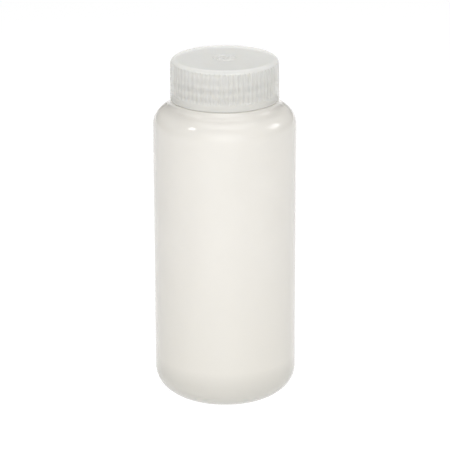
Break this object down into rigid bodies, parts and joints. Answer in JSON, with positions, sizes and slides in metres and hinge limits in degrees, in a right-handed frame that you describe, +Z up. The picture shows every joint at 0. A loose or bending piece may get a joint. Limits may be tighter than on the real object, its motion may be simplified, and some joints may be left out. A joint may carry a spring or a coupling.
{
  "type": "wide-mouth reagent bottle",
  "caption": "Translucent wide-mouth plastic reagent bottle with rounded shoulder and base, threaded neck, loose sealing disc and ribbed screw cap that turns and rises on its thread.",
  "frame": {"origin": "middle of the base, at the level of the surface that the bottle stands on", "axes": "+Z up along the bottle's axis, towards the cap; +X and +Y across it"},
  "size_m": [0.073, 0.073, 0.1796],
  "materials": {
    "bottle_plastic": "translucent natural polypropylene, smooth blow-moulded",
    "cap_plastic": "translucent natural polypropylene, injection moulded with grip grooves",
    "disc_plastic": "soft white polyethylene sheet"
  },
  "bodies": {
    "bottle_body": {"bottle": "bottle_plastic"},
    "disc_body": {"sealing_disc": "disc_plastic"},
    "cap_body": {"screw_cap": "cap_plastic"}
  },
  "joints": [
    {"name": "cap_rise", "type": "slide", "parent": "bottle_body", "child": "disc_body", "axis": [0, 0, 1], "range_m": [0, 0.0111]},
    {"name": "cap_turn", "type": "hinge", "parent": "disc_body", "child": "cap_body", "pos_m": [0, 0, 0.1777], "axis": [0, 0, 1], "range_deg": [0, 864]}
  ],
  "couplings": [
    {"joint": "cap_rise", "follows": "cap_turn", "m_per_rad": 0.00073211}
  ]
}
